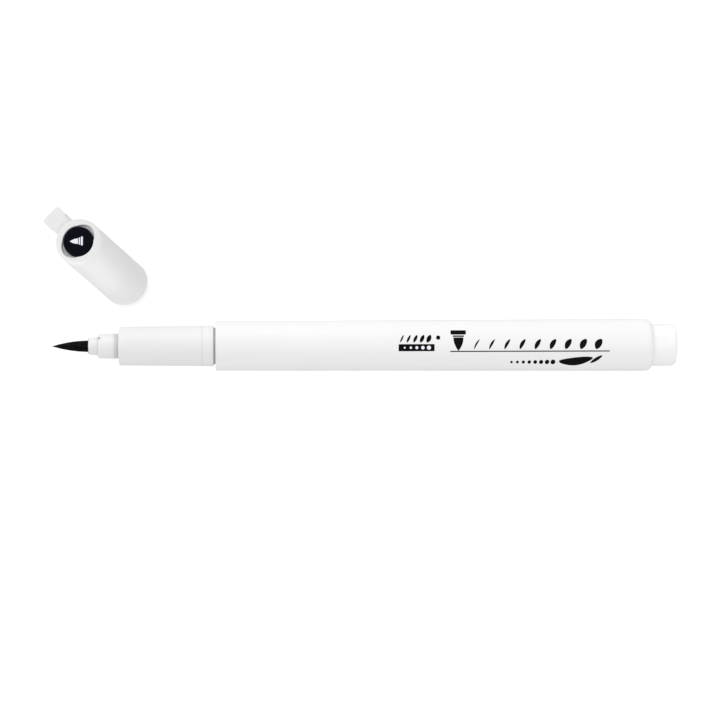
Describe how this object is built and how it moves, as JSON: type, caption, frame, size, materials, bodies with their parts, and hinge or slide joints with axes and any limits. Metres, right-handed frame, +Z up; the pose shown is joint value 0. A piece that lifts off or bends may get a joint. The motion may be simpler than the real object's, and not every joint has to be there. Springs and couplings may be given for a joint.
{
  "type": "brush pen",
  "caption": "Fibre-reservoir brush pen with a stepped nose, a pointed bristle tip and a separate clip cap with a sealing liner.",
  "frame": {"origin": "on the pen's axis, at the middle of the ring that the cap's mouth grips", "axes": "+X along the pen towards its tail, +Y sideways towards the cap, +Z up from the surface that the pen lies on"},
  "size_m": [0.1351, 0.034, 0.0401],
  "materials": {
    "barrel_white": "smooth moulded white, soft gloss",
    "tail_white": "smooth moulded white",
    "ring_white": "smooth moulded white",
    "grip_white": "smooth moulded white",
    "collar_white": "warm white, satin",
    "holder_white": "cool white, satin",
    "bristle_root": "fused bristle ends, inked",
    "feed_fibre": "bonded fibre soaked with ink",
    "sleeve_plastic": "natural moulded plastic",
    "wadding": "drawn fibre soaked with ink",
    "film": "clear thin film",
    "cap_white": "smooth moulded white",
    "liner_white": "natural soft plastic",
    "button_black": "black, soft gloss",
    "clip_white": "smooth moulded white",
    "bristles": "fine nylon bristles, wet with black ink"
  },
  "bodies": {
    "pen": {"barrel": "barrel_white", "tail_plug": "tail_white", "coupling_ring": "ring_white", "section": "grip_white", "nose_collar": "collar_white", "nib_holder": "holder_white", "bristle_root": "bristle_root", "feed_rod": "feed_fibre", "feed_sleeve": "sleeve_plastic", "reservoir_core": "wadding", "reservoir_film": "film"},
    "cap": {"cap_shell": "cap_white", "inner_cap": "liner_white", "end_button": "button_black"},
    "clip": {"clip": "clip_white"},
    "brush": {"brush_tip": "bristles"}
  },
  "joints": [
    {"name": "cap_pull", "type": "slide", "parent": "pen", "child": "cap", "axis": [-0.1909, 0.187, 0.9636], "range_m": [0, 0.036]},
    {"name": "clip_flex", "type": "hinge", "parent": "cap", "child": "clip", "pos_m": [-0.02892, 0.02446, 0.03033], "axis": [0.6997, 0.7145, 0], "range_deg": [0, 4], "stiffness_Nm_per_rad": 0.6},
    {"name": "brush_flex", "type": "hinge", "parent": "pen", "child": "brush", "pos_m": [-0.02572, 0, 0], "axis": [0, 0, 1], "range_deg": [-25, 25], "stiffness_Nm_per_rad": 0.0005, "deforming": ["brush_tip"]}
  ]
}
